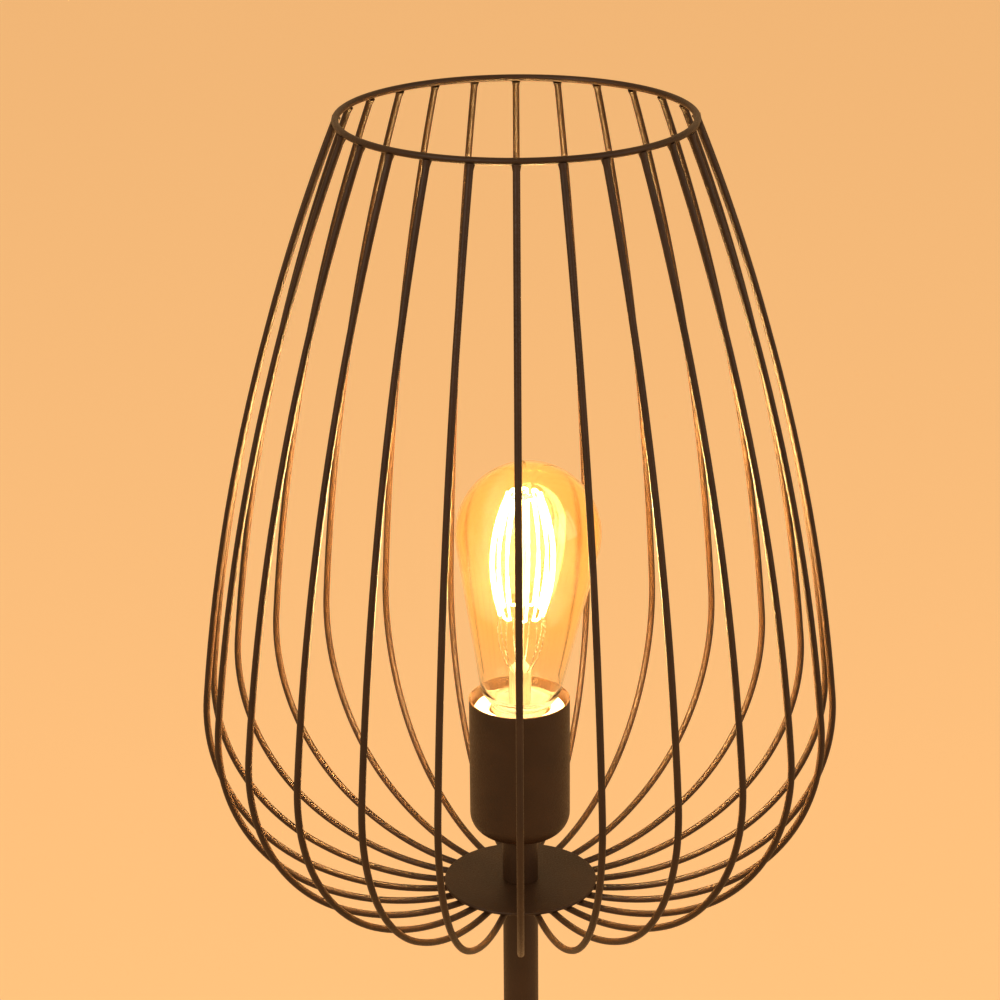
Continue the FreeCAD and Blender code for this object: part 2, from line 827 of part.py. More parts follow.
# ---------------------------------------------------------------- all the nodes
def build():
    nodes = {
        "base_cover": base_cover(),
        "base_weight": base_weight(),
        "base_bottom_plate": base_bottom_plate(),
        "bottom_plate_screws": bottom_plate_screws(),
        "rubber_feet": rubber_feet(),
        "base_rod": base_rod(),
        "base_nut": base_nut(),
        "base_washers": base_washers(),
        "cable_bush": cable_bush(),
        "pole_end_bushes": pole_end_bushes(),
        "pole_studs": pole_studs(),
        "neck_tube": neck_tube(),
        "head_rod": head_rod(),
        "cup_nut": cup_nut(),
        "holder_cup": holder_cup(),
        "holder_base": holder_base(),
        "holder_body": holder_body(),
        "screw_shell": screw_shell(),
        "centre_contact": centre_contact(),
        "terminal_screws": terminal_screws(),
        "lead_sheath": lead_sheath(),
        "lead_cores": lead_cores(),
        "bulb_glass": bulb_glass(),
        "bulb_cap": bulb_cap(),
        "bulb_insulator": bulb_insulator(),
        "bulb_tip_contact": bulb_tip_contact(),
        "bulb_stem": bulb_stem(),
        "bulb_filament": bulb_filament(),
        "filament_supports": filament_supports(),
        "cage_disc": cage_disc(),
        "cage_ring": cage_ring(),
    }
    for name, low in zip(pole_sections, pole_joints()):
        nodes[name] = pole_tube(low)
    for number, wire in enumerate(cage_wires(), start=1):
        nodes["cage_wire_%02d" % number] = wire
    return nodes


os.makedirs("parts", exist_ok=True)
for node_name, node_shape in build().items():
    node_shape.exportStep("parts/%s.step" % node_name)
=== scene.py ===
import json
import math

import bmesh
import bpy
from mathutils import Matrix, Vector


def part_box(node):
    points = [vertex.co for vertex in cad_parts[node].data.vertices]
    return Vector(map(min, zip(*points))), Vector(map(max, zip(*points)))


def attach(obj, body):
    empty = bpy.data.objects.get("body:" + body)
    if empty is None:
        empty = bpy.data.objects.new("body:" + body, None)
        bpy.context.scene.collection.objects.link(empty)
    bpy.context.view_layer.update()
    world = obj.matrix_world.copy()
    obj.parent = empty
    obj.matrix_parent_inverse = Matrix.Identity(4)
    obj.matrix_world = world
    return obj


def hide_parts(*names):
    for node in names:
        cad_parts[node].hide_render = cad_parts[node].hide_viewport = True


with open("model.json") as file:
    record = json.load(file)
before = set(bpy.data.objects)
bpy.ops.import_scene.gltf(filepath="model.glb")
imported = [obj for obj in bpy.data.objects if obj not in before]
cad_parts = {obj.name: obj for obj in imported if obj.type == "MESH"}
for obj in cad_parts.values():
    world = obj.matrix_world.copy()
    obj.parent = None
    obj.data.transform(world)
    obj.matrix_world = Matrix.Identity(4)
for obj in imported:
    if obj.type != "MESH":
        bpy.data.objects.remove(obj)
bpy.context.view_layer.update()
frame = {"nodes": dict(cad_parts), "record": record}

MM = 0.001
UP = Vector((0, 0, 1))


# ---------------------------------------------------------------- sizes
disc_low, disc_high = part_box("cage_disc")
ring_low, ring_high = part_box("cage_ring")
cover_low, cover_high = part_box("base_cover")
cup_low, cup_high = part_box("holder_cup")
body_low, body_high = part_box("holder_body")
holder_low, holder_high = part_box("holder_base")
shell_low, shell_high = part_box("screw_shell")
neck_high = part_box("neck_tube")[1]
tip_low, tip_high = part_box("bulb_tip_contact")
cap_low, cap_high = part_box("bulb_cap")
insulator_low, insulator_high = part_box("bulb_insulator")

wire_radius = 1.5 * MM
wire_count = 26
cage_radius = 140.0 * MM - wire_radius      # centre line at the widest level
ring_radius = 75.0 * MM
ring_level = (ring_low.z + ring_high.z) / 2
bottom_bend_radius = 120.0 * MM
bottom_bend_turn = math.radians(30.0)
shoulder_lean = math.radians(5.5)
wire_seat = 6.0 * MM
bead_length = 2.2 * MM                      # weld bead at each end of a wire
bead_rise = 0.45 * MM

disc_radius = disc_high.x
pole_radius = neck_high.x
pole_bore = pole_radius - 1.2 * MM
rod_hole = 5.3 * MM

seam_edge = 0.35 * MM
rim_share = 0.92                            # of the disc's half thickness, taken by its rounded rim

cover_wall = 1.2 * MM
cover_rounding = 4.0 * MM
fine_edge = 0.3 * MM
foot_radius = 9.0 * MM
foot_height = 3.0 * MM
foot_tread_inset = 2.5 * MM
foot_tread_rise = 0.5 * MM
foot_inset = 22.0 * MM
foot_count = 4
boss_inset = 30.0 * MM
screw_count = 3
screw_radius = 2.0 * MM
screw_head_radius = 4.0 * MM
recess_radius = 2.2 * MM
recess_floor_radius = 1.9 * MM
recess_depth = 1.1 * MM
recess_waist = 0.42                         # of the recess's radius, between the arms of its cross
inlet_level = 8.5 * MM
bush_bore_radius = 2.9 * MM
bush_radius = 4.2 * MM
flange_radius = 5.0 * MM
flange_depth = 1.5 * MM

cup_radius = 22.5 * MM
cup_wall = 0.8 * MM
cup_rounding = 10.0 * MM
cup_edge = 0.35 * MM
web_rise = 4.0 * MM
shell_clearance = 0.2 * MM
spigot_step = 2.0 * MM
holder_bore_radius = 5.1 * MM
dish_foot_radius = 12.0 * MM
dish_floor_radius = 10.0 * MM
dish_floor_rise = 5.0 * MM
dish_wall_rise = 10.0 * MM
shell_wall = 0.5 * MM
shell_plain_foot = 1.0 * MM                 # heights at the ends of a wall that carry no thread
shell_plain_lip = 2.0 * MM
cap_plain_foot = 2.0 * MM
cap_plain_rim = 3.0 * MM
thread_pitch = 3.629 * MM
thread_depth = 0.9 * MM
wall_step = 0.3 * MM                        # between the outline points of a threaded wall

bulb_radius = 32.0 * MM
bulb_length = 140.0 * MM
bulb_lean = math.radians(2.8)
bulb_pivot = tip_low.z + 21.3 * MM
glass_wall = 0.8 * MM
glass_neck_radius = 17.9 * MM
glass_neck_level = tip_low.z + 34.3 * MM
glass_foot_level = tip_low.z + 9.0 * MM
seal_radius = 11.7 * MM
glass_shoulder_radius = 13.1 * MM
shoulder_rise = 0.94 * MM                   # of the glass's shoulder above the cap
outer_bow = 0.8 * MM
inner_bow = 0.6 * MM
cement_low = cap_high.z + 1.2 * MM          # the white foot of the glass fades between these levels
cement_high = cap_high.z + 2.4 * MM
cap_wall = 0.5 * MM
cap_turn_in = 2.0 * MM
insulator_radius = 5.8 * MM
tip_radius = 2.9 * MM
tip_rounding = 1.2 * MM

stem_lean = math.radians(1.4)
stem_flare = 10.0 * MM
stem_radius = 5.0 * MM
stem_top = tip_low.z + 49.0 * MM
rod_radius = 1.3 * MM
button_radius = 2.2 * MM
button_height = 3.0 * MM
strand_count = 18
strand_radius = 0.45 * MM
glow_radius = 0.6 * MM                      # of a strand at full heat
strand_low = tip_low.z + 71.0 * MM
strand_high = strand_low + 55.0 * MM
strand_foot_radius = 10.0 * MM
strand_top_radius = 7.5 * MM
strand_bulge = 5.0 * MM
hook_rise = 0.35 * MM                       # of the filament over the hook at each bend
coil_ripple = 0.1                           # of the glow's radius, from point to point
support_radius = 0.35 * MM
support_bulge = 2.5 * MM
support_gap = 0.1 * MM
hook_reach = 0.7 * MM                       # of an upper support's end beyond the strand
hook_tip_rise = 0.3 * MM
stem_sink = 0.3 * MM                        # of a lower support's foot into the stem
button_sink = 0.4 * MM


# ---------------------------------------------------------------- materials
def new_material(name):
    """A material with its Principled shader, its node tree and its object coordinates."""
    material = bpy.data.materials.new(name)
    material.use_nodes = True
    tree = material.node_tree
    shader = tree.nodes["Principled BSDF"]
    coordinates = tree.nodes.new("ShaderNodeTexCoord").outputs["Object"]
    return material, tree, shader, coordinates


def noise(tree, coordinates, size, detail=3.0, stretch=None):
    """Noise whose features are about size across."""
    if stretch:
        mapping = tree.nodes.new("ShaderNodeMapping")
        mapping.inputs["Scale"].default_value = stretch
        tree.links.new(coordinates, mapping.inputs["Vector"])
        coordinates = mapping.outputs["Vector"]
    node = tree.nodes.new("ShaderNodeTexNoise")
    node.inputs["Scale"].default_value = 1.0 / size
    node.inputs["Detail"].default_value = detail
    tree.links.new(coordinates, node.inputs["Vector"])
    return node.outputs["Fac"]


def ramp(tree, value, stops):
    """Colours or greys along a 0 to 1 value."""
    node = tree.nodes.new("ShaderNodeValToRGB")
    elements = node.color_ramp.elements
    while len(elements) < len(stops):
        elements.new(0.5)
    for element, (place, colour) in zip(elements, stops):
        element.position = place
        element.color = (*colour, 1.0)
    tree.links.new(value, node.inputs["Fac"])
    return node.outputs["Color"]


def bump(tree, shader, height, depth, strength=1.0):
    node = tree.nodes.new("ShaderNodeBump")
    node.inputs["Strength"].default_value = strength
    node.inputs["Distance"].default_value = depth
    tree.links.new(height, node.inputs["Height"])
    tree.links.new(node.outputs["Normal"], shader.inputs["Normal"])


def grey(value):
    return (value, value, value)


def powder_coat():
    """Near-black powder coat with a fine grain."""
    material, tree, shader, place = new_material("powder_coat")
    cloud = noise(tree, place, 18 * MM, 2.0)
    colour = ramp(tree, cloud, [(0.3, (0.022, 0.0100, 0.0040)), (0.7, (0.034, 0.0155, 0.0060))])
    tree.links.new(colour, shader.inputs["Base Color"])
    grain = noise(tree, place, 0.75 * MM, 4.0)
    rough = ramp(tree, grain, [(0.35, grey(0.38)), (0.65, grey(0.56))])
    tree.links.new(rough, shader.inputs["Roughness"])
    shader.inputs["Specular IOR Level"].default_value = 0.25
    bump(tree, shader, grain, 0.16 * MM)
    return material


def metal(name, dark, light, rough_low, rough_high, grain_size, depth, stretch=None):
    """A metal with brushed or stamped marks."""
    material, tree, shader, place = new_material(name)
    shader.inputs["Metallic"].default_value = 1.0
    grain = noise(tree, place, grain_size, 4.0, stretch)
    tree.links.new(ramp(tree, grain, [(0.3, dark), (0.7, light)]), shader.inputs["Base Color"])
    rough = ramp(tree, grain, [(0.3, grey(rough_low)), (0.7, grey(rough_high))])
    tree.links.new(rough, shader.inputs["Roughness"])
    bump(tree, shader, grain, depth)
    return material


def dull(name, dark, light, rough_low, rough_high, grain_size, depth, specular=0.5):
    """A surface that isn't metal, with a grain in colour, roughness and height."""
    material, tree, shader, place = new_material(name)
    grain = noise(tree, place, grain_size, 4.0)
    tree.links.new(ramp(tree, grain, [(0.3, dark), (0.7, light)]), shader.inputs["Base Color"])
    rough = ramp(tree, grain, [(0.3, grey(rough_low)), (0.7, grey(rough_high))])
    tree.links.new(rough, shader.inputs["Roughness"])
    shader.inputs["Specular IOR Level"].default_value = specular
    bump(tree, shader, grain, depth)
    return material


def let_light_through(tree, surface, tint):
    """Lets shadow rays and bounced light straight through a glass surface."""
    path = tree.nodes.new("ShaderNodeLightPath")
    either = tree.nodes.new("ShaderNodeMath")
    either.operation = "MAXIMUM"
    clear = tree.nodes.new("ShaderNodeBsdfTransparent")
    mix = tree.nodes.new("ShaderNodeMixShader")
    clear.inputs["Color"].default_value = (*tint, 1.0)
    tree.links.new(path.outputs["Is Shadow Ray"], either.inputs[0])
    tree.links.new(path.outputs["Is Diffuse Ray"], either.inputs[1])
    tree.links.new(either.outputs["Value"], mix.inputs["Fac"])
    tree.links.new(surface, mix.inputs[1])
    tree.links.new(clear.outputs["BSDF"], mix.inputs[2])
    tree.links.new(mix.outputs["Shader"], tree.nodes["Material Output"].inputs["Surface"])


def amber_glass():
    """Amber glass with a painted glow where the filament is, standing in for the filament's light within the
    glass.
    """
    material, tree, shader, place = new_material("amber_glass")
    shader.inputs["IOR"].default_value = 1.46
    split = tree.nodes.new("ShaderNodeSeparateXYZ")
    tree.links.new(place, split.inputs["Vector"])
    foot = tree.nodes.new("ShaderNodeMapRange")
    foot.inputs["From Min"].default_value = cement_low
    foot.inputs["From Max"].default_value = cement_high
    tree.links.new(split.outputs["Z"], foot.inputs["Value"])
    tree.links.new(foot.outputs["Result"], shader.inputs["Transmission Weight"])
    span = tree.nodes.new("ShaderNodeMapRange")
    span.inputs["From Min"].default_value = glass_neck_level
    span.inputs["From Max"].default_value = tip_low.z + bulb_length
    tree.links.new(split.outputs["Z"], span.inputs["Value"])
    wave = noise(tree, place, 14 * MM, 1.0)
    height = span.outputs["Result"]
    tint = ramp(tree, height, [(0.0, (1.0, 0.93, 0.80)), (0.4, (1.0, 0.88, 0.60)), (1.0, (1.0, 0.86, 0.52))])
    # painted glow: the glass's own emission, none at the neck and rising to the filament's height and above,
    # stands in for the filament's light in the glass
    glow = ramp(tree, height, [(0.05, (0.0, 0.0, 0.0)), (0.35, (0.06, 0.02, 0.0)), (0.75, (0.08, 0.02, 0.0)),
                               (1.0, (0.08, 0.04, 0.01))])
    haze = ramp(tree, height, [(0.1, grey(0.01)), (0.45, grey(0.05)), (0.9, grey(0.05)), (1.0, grey(0.03))])
    tree.links.new(haze, shader.inputs["Roughness"])
    tree.links.new(tint, shader.inputs["Base Color"])
    tree.links.new(glow, shader.inputs["Emission Color"])
    shader.inputs["Emission Strength"].default_value = 1.0
    bump(tree, shader, wave, 0.05 * MM, 0.5)
    let_light_through(tree, shader.outputs["BSDF"], (1.0, 0.9, 0.72))
    return material


def stem_glass():
    """Clear glass that carries the filament's light down to the cap."""
    material, tree, shader, place = new_material("stem_glass")
    shader.inputs["Transmission Weight"].default_value = 0.6
    shader.inputs["IOR"].default_value = 1.5
    streaks = noise(tree, place, 3 * MM, 3.0, (1.0, 1.0, 0.3))
    tree.links.new(ramp(tree, streaks, [(0.35, grey(0.04)), (0.7, grey(0.25))]), shader.inputs["Roughness"])
    tree.links.new(ramp(tree, streaks, [(0.3, (0.9, 0.8, 0.62)), (0.7, (1.0, 0.95, 0.85))]),
                   shader.inputs["Base Color"])
    bump(tree, shader, streaks, 0.25 * MM)
    let_light_through(tree, shader.outputs["BSDF"], (0.97, 0.95, 0.9))
    return material


def glowing(name, colour, strength):
    """A filament at full heat, with its core a little uneven."""
    material, tree, shader, place = new_material(name)
    shader.inputs["Base Color"].default_value = (0.9, 0.7, 0.3, 1.0)
    shader.inputs["Roughness"].default_value = 0.6
    uneven = noise(tree, place, 1.2 * MM, 2.0)
    tone = ramp(tree, uneven, [(0.3, tuple(0.7 * part for part in colour)), (0.7, colour)])
    tree.links.new(tone, shader.inputs["Emission Color"])
    shader.inputs["Emission Strength"].default_value = strength
    return material


materials = {
    "black_paint": powder_coat(),
    "cast_iron": dull("cast_iron", (0.10, 0.095, 0.09), (0.20, 0.19, 0.18), 0.55, 0.85, 1.6 * MM, 0.4 * MM),
    "zinc_steel": metal("zinc_steel", (0.52, 0.52, 0.48), (0.70, 0.70, 0.67), 0.25, 0.42, 0.8 * MM,
                        0.03 * MM, (1.0, 1.0, 0.15)),
    "rubber": dull("rubber", (0.018, 0.018, 0.018), (0.040, 0.038, 0.036), 0.7, 0.9, 0.6 * MM,
                   0.08 * MM, 0.3),
    "black_plastic": dull("black_plastic", (0.020, 0.020, 0.020), (0.035, 0.034, 0.033), 0.42, 0.6,
                          0.5 * MM, 0.05 * MM),
    "core_insulation": dull("core_insulation", (0.28, 0.14, 0.07), (0.40, 0.22, 0.12), 0.35, 0.5,
                            1 * MM, 0.03 * MM),
    "white_ceramic": dull("white_ceramic", (0.82, 0.79, 0.72), (0.93, 0.91, 0.86), 0.12, 0.22,
                          6 * MM, 0.10 * MM),
    "brass": metal("brass", (0.66, 0.46, 0.18), (0.86, 0.66, 0.32), 0.2, 0.36, 0.9 * MM, 0.03 * MM),
    "nickel": metal("nickel", (0.60, 0.57, 0.52), (0.80, 0.77, 0.72), 0.16, 0.32, 0.9 * MM, 0.03 * MM),
    "solder": metal("solder", (0.45, 0.45, 0.45), (0.66, 0.66, 0.66), 0.3, 0.5, 1.4 * MM, 0.12 * MM),
    "amber_glass": amber_glass(),
    "clear_glass": stem_glass(),
    "black_glass": dull("black_glass", (0.012, 0.012, 0.014), (0.022, 0.022, 0.026), 0.06, 0.14,
                        3 * MM, 0.05 * MM),
    "filament": glowing("filament", (1.0, 0.72, 0.38), 1500.0),
}

slot_of = {part["node"]: part["material_slot"] for part in frame["record"]["subparts"]}
body_of = {name: body for body, names in frame["record"]["behaviour"]["bodies"].items() for name in names}

for node_name, node_object in frame["nodes"].items():
    for material_slot in node_object.material_slots:
        material_slot.material = materials[slot_of[node_name]]


# ---------------------------------------------------------------- shapes
def add_piece(name, mesh, node, crease=math.radians(35)):
    """Makes an object of a bmesh, which rides with a CAD node and stands for it in its slot."""
    bmesh.ops.recalc_face_normals(mesh, faces=mesh.faces)
    data = bpy.data.meshes.new(name)
    mesh.to_mesh(data)
    mesh.free()
    data.shade_smooth()
    data.set_sharp_from_angle(angle=crease)
    piece = bpy.data.objects.new(name, data)
    bpy.context.scene.collection.objects.link(piece)
    data.materials.append(materials[slot_of[node]])
    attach(piece, body_of[node])
    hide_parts(node)
    return piece


def rounded(corners, steps=6):
    """A closed outline of (radius, height) points from corners (radius, height, rounding)."""
    outline = []
    for index, (radius, height, rounding) in enumerate(corners):
        corner = Vector((radius, height))
        if rounding <= 0:
            outline.append((radius, height))
            continue
        before = Vector(corners[index - 1][:2]) - corner
        after = Vector(corners[(index + 1) % len(corners)][:2]) - corner
        half = before.angle(after) / 2
        reach = rounding / math.tan(half)
        middle = (before.normalized() + after.normalized()).normalized()
        centre = corner + middle * (rounding / math.sin(half))
        start = corner + before.normalized() * reach - centre
        sweep = (corner + after.normalized() * reach - centre).angle_signed(start)
        for step in range(steps + 1):
            spoke = start.copy()
            spoke.rotate(Matrix.Rotation(sweep * step / steps, 2))
            outline.append(tuple(centre + spoke))
    return outline


def lathe(outline, segments=96, closed=True, wobble=None):
    """A turned solid about the lamp's axis from (radius, height) points."""
    mesh = bmesh.new()
    rings = []
    for radius, height in outline:
        if radius < 0.001 * MM:
            rings.append([mesh.verts.new((0, 0, height))] * segments)
            continue
        ring = []
        for step in range(segments):
            angle = 2 * math.pi * step / segments
            far, level = wobble(angle, radius, height) if wobble else (radius, height)
            ring.append(mesh.verts.new((far * math.cos(angle), far * math.sin(angle), level)))
        rings.append(ring)
    pairs = list(zip(rings, rings[1:]))
    if closed:
        pairs.append((rings[-1], rings[0]))
    for one, two in pairs:
        for step in range(segments):
            following = (step + 1) % segments
            corners = list(dict.fromkeys([one[step], one[following], two[following], two[step]]))
            if len(corners) > 2:
                mesh.faces.new(corners)
    return mesh


def tube_along(points, radii, sides=12, closed=False, mesh=None):
    """A round bar along points, with a radius at each of them."""
    mesh = mesh or bmesh.new()
    count = len(points)
    rings = []
    normal = None
    for index, point in enumerate(points):
        before = points[index - 1] if index or closed else point
        after = points[(index + 1) % count] if index < count - 1 or closed else point
        along = (after - before).normalized()
        if normal is None:
            normal = along.orthogonal().normalized()
        normal = (normal - along * normal.dot(along)).normalized()
        side = along.cross(normal)
        ring = []
        for step in range(sides):
            angle = 2 * math.pi * step / sides
            spoke = normal * math.cos(angle) + side * math.sin(angle)
            ring.append(mesh.verts.new(point + spoke * radii[index]))
        rings.append(ring)
    pairs = list(zip(rings, rings[1:]))
    if closed:
        pairs.append((rings[-1], rings[0]))
    for one, two in pairs:
        for step in range(sides):
            following = (step + 1) % sides
            mesh.faces.new([one[step], one[following], two[following], two[step]])
    if not closed:
        mesh.faces.new(rings[0][::-1])
        mesh.faces.new(rings[-1])
    return mesh


def bend(point, heading, radius, turn, step=math.radians(2.0)):
    """Points and headings along a bend in the plane of (radius, height)."""
    steps = math.ceil(turn / step)
    centre_r = point[0] - radius * math.sin(heading)
    centre_z = point[1] + radius * math.cos(heading)
    stations = []
    for index in range(1, steps + 1):
        angle = heading + turn * index / steps
        stations.append((centre_r + radius * math.sin(angle), centre_z - radius * math.cos(angle), angle))
    return stations


# ---------------------------------------------------------------- cage
def wire_line():
    """The centre line of a wire as (radius, height), with the same bends as the CAD's."""
    level = disc_low.z - wire_radius
    start = disc_radius
    stations = [(start - wire_seat, level, 0.0), (start - wire_seat / 2, level, 0.0), (start, level, 0.0)]
    stations += bend(stations[-1][:2], 0.0, bottom_bend_radius, bottom_bend_turn)
    reach = cage_radius - start - bottom_bend_radius * math.sin(bottom_bend_turn)
    shoulder_radius = reach / (1 - math.sin(bottom_bend_turn))
    shoulder_turn = math.pi / 2 + shoulder_lean - bottom_bend_turn
    stations += bend(stations[-1][:2], bottom_bend_turn, shoulder_radius, shoulder_turn)
    side_r, side_z, heading = stations[-1]
    rise = ring_level - side_z
    half_turn = math.atan2(side_r - ring_radius, rise) - shoulder_lean
    side_radius = math.hypot(side_r - ring_radius, rise) / (2 * math.sin(half_turn))
    stations += bend((side_r, side_z), heading, side_radius, 2 * half_turn - wire_radius / side_radius,
                     math.radians(0.8))
    return [(radius, height) for radius, height, heading in stations]


def bead_radii(points):
    """The wire's radius at each point, swelling into a weld bead at both ends."""
    lengths = [0.0]
    for one, two in zip(points, points[1:]):
        lengths.append(lengths[-1] + (two - one).length)
    radii = []
    for length in lengths:
        from_end = min(length, lengths[-1] - length)
        swell = max(0.0, 1 - from_end / bead_length)
        radii.append(wire_radius + bead_rise * swell * swell)
    return radii


def dense_ends(line):
    """The line with extra points close to both ends, for the weld beads."""
    first, second = Vector(line[0]), Vector(line[1])
    last, inner = Vector(line[-1]), Vector(line[-2])
    starts = [first.lerp(second, share) for share in (0, 0.2, 0.4, 0.6, 0.8)]
    ends = [inner.lerp(last, share) for share in (0.3, 0.6, 0.8, 1.0)]
    middle = [Vector(point) for point in line[1:-1]]
    return starts + middle + ends


def make_cage():
    line = dense_ends(wire_line())
    for index in range(wire_count):
        angle = -math.pi / 2 + 2 * math.pi * index / wire_count
        out = Vector((math.cos(angle), math.sin(angle), 0))
        points = [out * point.x + UP * point.y for point in line]
        mesh = tube_along(points, bead_radii(points), sides=16)
        add_piece("wire_%02d" % (index + 1), mesh, "cage_wire_%02d" % (index + 1))

    steps = 240
    circle = [2 * math.pi * step / steps for step in range(steps)]
    points = [Vector((ring_radius * math.cos(a), ring_radius * math.sin(a), ring_level))
              for a in circle]
    add_piece("ring", tube_along(points, [wire_radius] * steps, sides=20, closed=True), "cage_ring")

    rim = (disc_high.z - disc_low.z) / 2 * rim_share
    outline = rounded([
        (rod_hole, disc_low.z, 0), (disc_radius, disc_low.z, rim),
        (disc_radius, disc_high.z, rim), (rod_hole, disc_high.z, 0),
    ])
    add_piece("disc", lathe(outline, 160), "cage_disc")


# ---------------------------------------------------------------- pole and base
def make_pole():
    """The pole's sections, their edges eased so that the joints show as fine seams."""
    for node in ("pole_lower", "pole_middle", "pole_upper", "neck_tube"):
        low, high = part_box(node)
        outline = rounded([
            (pole_bore, low.z, 0), (pole_radius, low.z, seam_edge),
            (pole_radius, high.z, seam_edge), (pole_bore, high.z, 0),
        ], 4)
        add_piece(node + "_tube", lathe(outline), node)


def copies_around(mesh, reach, count, start):
    """Copies of a mesh that stands on the axis, moved out by reach and spaced about the axis."""
    pattern = bpy.data.meshes.new("pattern")
    mesh.to_mesh(pattern)
    mesh.free()
    group = bmesh.new()
    for index in range(count):
        turn = Matrix.Rotation(start + 2 * math.pi * index / count, 4, "Z")
        place = turn @ Matrix.Translation((reach, 0, 0))
        pattern.transform(place)
        group.from_mesh(pattern)
        pattern.transform(place.inverted())
    bpy.data.meshes.remove(pattern)
    return group


def make_base():
    radius = cover_high.x
    inner = radius - cover_wall
    ceiling = cover_high.z - cover_wall
    outline = rounded([
        (radius, cover_low.z, fine_edge), (radius, cover_high.z, cover_rounding),
        (rod_hole, cover_high.z, 0), (rod_hole, ceiling, 0),
        (inner, ceiling, cover_rounding - cover_wall), (inner, cover_low.z, fine_edge),
    ], 10)
    add_piece("cover", lathe(outline, 192), "base_cover")

    tread = foot_radius - foot_tread_inset
    foot = lathe(rounded([
        (0, 0, 0), (tread, 0, 0.4 * MM), (tread + foot_tread_rise, foot_tread_rise, fine_edge),
        (foot_radius, foot_tread_rise, 0.9 * MM), (foot_radius, foot_height, fine_edge),
        (0, foot_height, 0),
    ], 4), 48, closed=False)
    feet = copies_around(foot, radius - foot_inset, foot_count, math.pi / foot_count)
    add_piece("feet", feet, "rubber_feet")

    screw_low, screw_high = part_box("bottom_plate_screws")
    recess_floor = screw_low.z + recess_depth
    screw = lathe(rounded([
        (0, recess_floor, 0), (recess_floor_radius, recess_floor, 0), (recess_radius, screw_low.z, 0),
        (screw_head_radius, screw_low.z, 0.8 * MM), (screw_head_radius, cover_low.z, 0),
        (screw_radius, cover_low.z, 0), (screw_radius, screw_high.z, 0.4 * MM), (0, screw_high.z, 0),
    ], 4), 48, closed=False, wobble=cross_recess)
    screws = copies_around(screw, radius - boss_inset, screw_count, -math.pi / 2)
    add_piece("plate_screws", screws, "bottom_plate_screws")

    bush_low, bush_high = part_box("cable_bush")
    flange = bush_high.y - flange_depth
    bush = lathe(rounded([
        (bush_bore_radius, bush_low.y, 0), (bush_radius, bush_low.y, 0.4 * MM),
        (bush_radius, flange, 0), (flange_radius, flange, 0),
        (flange_radius, bush_high.y, 0.8 * MM), (bush_bore_radius, bush_high.y, 0.5 * MM),
    ], 5), 64)
    bush.transform(Matrix.Translation((0, 0, inlet_level)) @ Matrix.Rotation(-math.pi / 2, 4, "X"))
    add_piece("bush", bush, "cable_bush")


def cross_recess(angle, radius, height):
    """Draws the inner outlines of a screw's head in to a cross."""
    if radius > recess_radius + 0.1 * MM or height > foot_height:
        return radius, height
    arm = abs(math.cos(2 * angle)) ** 6
    return radius * (recess_waist + (1 - recess_waist) * arm), height


# ---------------------------------------------------------------- lamp holder
def rolled_thread(depth, low, high):
    """Moves a wall in and out by a right-hand rolled thread that fades at both ends."""
    def wobble(angle, radius, height):
        fade = max(0.0, min(1.0, (height - low) / thread_pitch, (high - height) / thread_pitch))
        turn = 2 * math.pi * (height - tip_low.z) / thread_pitch - angle
        return radius + depth / 2 * fade * math.cos(turn), height
    return wobble


def wall_outline(radius, wall, low, high):
    """An upright wall as outline points close enough together for a thread."""
    count = round((high - low) / wall_step)
    levels = [low + (high - low) * index / count for index in range(count + 1)]
    return [(radius, level) for level in levels] + [(radius - wall, level) for level in levels[::-1]]


def make_holder():
    inner = cup_radius - cup_wall
    floor = cup_low.z + cup_wall
    outline = rounded([
        (rod_hole, cup_low.z, 0), (cup_radius, cup_low.z, cup_rounding),
        (cup_radius, cup_high.z, cup_edge), (inner, cup_high.z, cup_edge),
        (inner, floor, cup_rounding - cup_wall), (rod_hole, floor, 0),
    ], 12)
    add_piece("cup", lathe(outline, 128), "holder_cup")

    outer = body_high.x
    pocket = shell_high.x + shell_clearance
    spigot = holder_high.x - spigot_step
    web = body_low.z + web_rise
    outline = rounded([
        (0, web, 0), (spigot, web, 0.4 * MM), (spigot, body_low.z, 0),
        (outer, body_low.z, 1.0 * MM), (outer, body_high.z, 2.4 * MM),
        (pocket, body_high.z, 1.0 * MM), (pocket, shell_low.z, 0), (0, shell_low.z, 0),
    ], 8)
    add_piece("holder_sleeve", lathe(outline, 128, closed=False), "holder_body")

    dish_floor = holder_low.z + dish_floor_rise
    outline = rounded([
        (holder_bore_radius, holder_low.z, 0), (dish_foot_radius, holder_low.z, 0.8 * MM),
        (holder_high.x, dish_floor, 1.5 * MM), (holder_high.x, holder_high.z, 0.5 * MM),
        (spigot, holder_high.z, fine_edge), (spigot, holder_low.z + dish_wall_rise, 1 * MM),
        (dish_floor_radius, dish_floor, 0.6 * MM), (holder_bore_radius, dish_floor, 0),
    ], 6)
    add_piece("holder_dish", lathe(outline), "holder_base")

    thread = rolled_thread(thread_depth, shell_low.z + shell_plain_foot, shell_high.z - shell_plain_lip)
    outline = wall_outline(shell_high.x - thread_depth / 2, shell_wall, shell_low.z, shell_high.z)
    add_piece("threaded_shell", lathe(outline, 96, wobble=thread), "screw_shell")


# ---------------------------------------------------------------- bulb
def lean(piece, angle):
    """The glass and what stands in it lean to +X in the cap."""
    pivot = Matrix.Translation((0, 0, bulb_pivot))
    piece.data.transform(pivot @ Matrix.Rotation(angle, 4, "Y") @ pivot.inverted())


